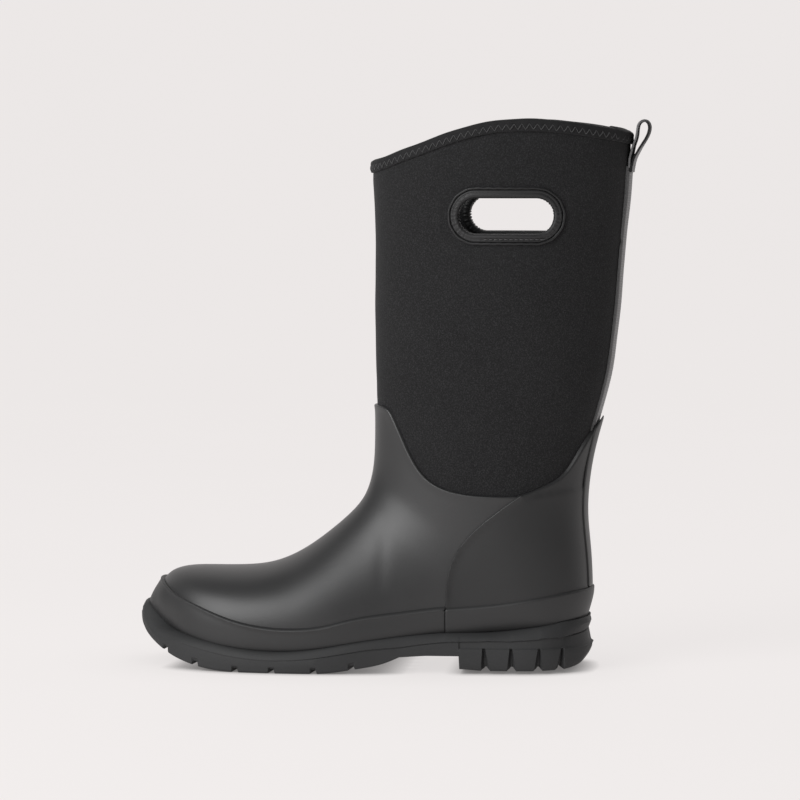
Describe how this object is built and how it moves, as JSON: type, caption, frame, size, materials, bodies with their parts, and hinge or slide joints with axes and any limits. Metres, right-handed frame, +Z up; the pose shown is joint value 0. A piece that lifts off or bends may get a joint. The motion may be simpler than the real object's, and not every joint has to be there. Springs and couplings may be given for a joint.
{
  "type": "tall insulated pull-on boot",
  "caption": "Tall insulated pull-on boot: foam leg with hand slots over a rubber foot shell, lugged outsole and a webbing pull loop.",
  "frame": {"origin": "on the ground, under the middle of the boot's box", "axes": "+Z up the leg; toe towards -X, heel towards +X; outer side of this left boot towards -Y"},
  "size_m": [0.3379, 0.1134, 0.3601],
  "materials": {
    "upper_rubber": "satin moulded rubber with a faint bloom",
    "outsole_rubber": "matte moulded rubber",
    "neoprene": "matte jersey-faced foam, finely heathered",
    "lining_knit": "soft brushed knit",
    "binding": "smooth stretch binding with a slight sheen",
    "webbing": "grey woven tape with black edges",
    "thread": "bonded polyester thread",
    "foam": "closed-cell foam",
    "board": "pressed fibre board",
    "steel": "spring steel strip"
  },
  "bodies": {
    "boot": {"outsole": "outsole_rubber", "heel_core": "foam", "midsole_foam": "foam", "insole_board": "board", "shank": "steel", "vamp_shell": "upper_rubber", "heel_quarter": "upper_rubber", "back_stay": "upper_rubber", "foxing_front": "upper_rubber", "foxing_heel": "upper_rubber", "toe_puff": "board", "heel_stiffener": "board", "neoprene_bootie": "neoprene", "lining": "lining_knit", "inner_seam_tape": "lining_knit", "collar_binding": "binding", "collar_stitching": "thread", "back_tape": "webbing", "loop_bar_tack": "thread", "handle_trim_lateral": "binding", "handle_trim_medial": "binding", "handle_piping_lateral": "binding", "handle_piping_medial": "binding", "handle_stitching_lateral": "thread", "handle_stitching_medial": "thread"},
    "pull_loop": {"pull_loop": "webbing"},
    "footbed": {"footbed": "foam", "footbed_cloth": "lining_knit"}
  },
  "joints": [
    {"name": "loop_swing", "type": "hinge", "parent": "boot", "child": "pull_loop", "pos_m": [0.1593, 0, 0.3284], "axis": [0, 1, 0], "range_deg": [0, 105], "stiffness_Nm_per_rad": 0.01},
    {"name": "footbed_lift", "type": "hinge", "parent": "boot", "child": "footbed", "pos_m": [-0.1495, 0, 0.0315], "axis": [0, -1, 0], "range_deg": [0, 5]}
  ]
}
